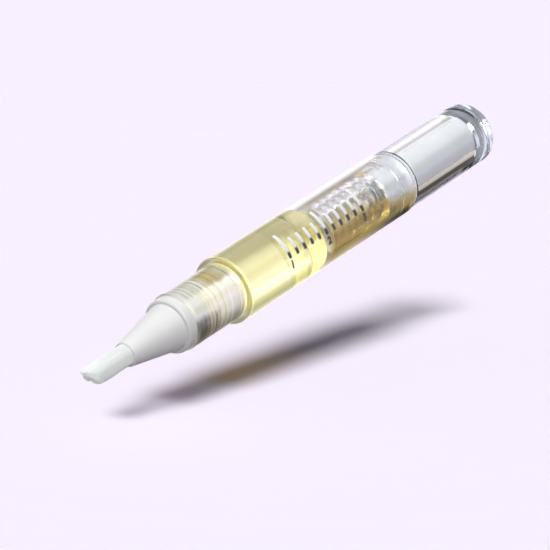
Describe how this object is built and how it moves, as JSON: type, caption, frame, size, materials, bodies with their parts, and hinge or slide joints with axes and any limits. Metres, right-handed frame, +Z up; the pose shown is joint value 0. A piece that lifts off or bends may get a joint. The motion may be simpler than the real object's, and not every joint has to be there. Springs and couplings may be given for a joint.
{
  "type": "nail oil pen",
  "caption": "Twist-up oil pen: clear barrel with screw rod and piston, ribbed brush cone with nylon tuft, and clear twist knob, without its cap.",
  "frame": {"origin": "centre of the bottom of the box round the pen, where the barrel's lowest line lies on the surface", "axes": "+X along the pen from the brush to the knob, +Z up, +Y across"},
  "size_m": [0.1112, 0.012, 0.012],
  "materials": {
    "clear_barrel": "clear, glossy",
    "clear_knob": "clear, glossy, thick walled",
    "clear_guide": "clear, glossy",
    "clear_rod": "clear, glossy, slightly grey",
    "oil": "clear pale yellow liquid",
    "piston_plastic": "translucent natural plastic",
    "white_cone": "white, satin, slightly translucent",
    "white_sleeve": "white, satin",
    "natural_tube": "natural translucent plastic",
    "nylon": "white nylon filaments, wet with oil"
  },
  "bodies": {
    "barrel": {"barrel": "clear_barrel", "thread_guide": "clear_guide", "brush_cone": "white_cone", "feed_tube": "natural_tube", "bristles": "nylon", "oil": "oil"},
    "knob": {"knob_shell": "clear_knob", "end_plug": "clear_knob", "drive_sleeve": "white_sleeve"},
    "rod": {"screw_rod": "clear_rod"},
    "plunger": {"piston": "piston_plastic"}
  },
  "joints": [
    {"name": "knob_twist", "type": "hinge", "parent": "barrel", "child": "knob", "pos_m": [0, 0, 0.006], "axis": [-1, 0, 0], "range_deg": [0, 2700]},
    {"name": "rod_feed", "type": "slide", "parent": "knob", "child": "rod", "axis": [-1, 0, 0], "range_m": [0, 0.015]},
    {"name": "piston_feed", "type": "slide", "parent": "barrel", "child": "plunger", "axis": [-1, 0, 0], "range_m": [0, 0.015], "deforming": ["oil"]}
  ],
  "couplings": [
    {"joint": "knob_twist", "follows": "piston_feed", "rad_per_m": 3141.6},
    {"joint": "rod_feed", "follows": "piston_feed", "ratio": 1}
  ]
}
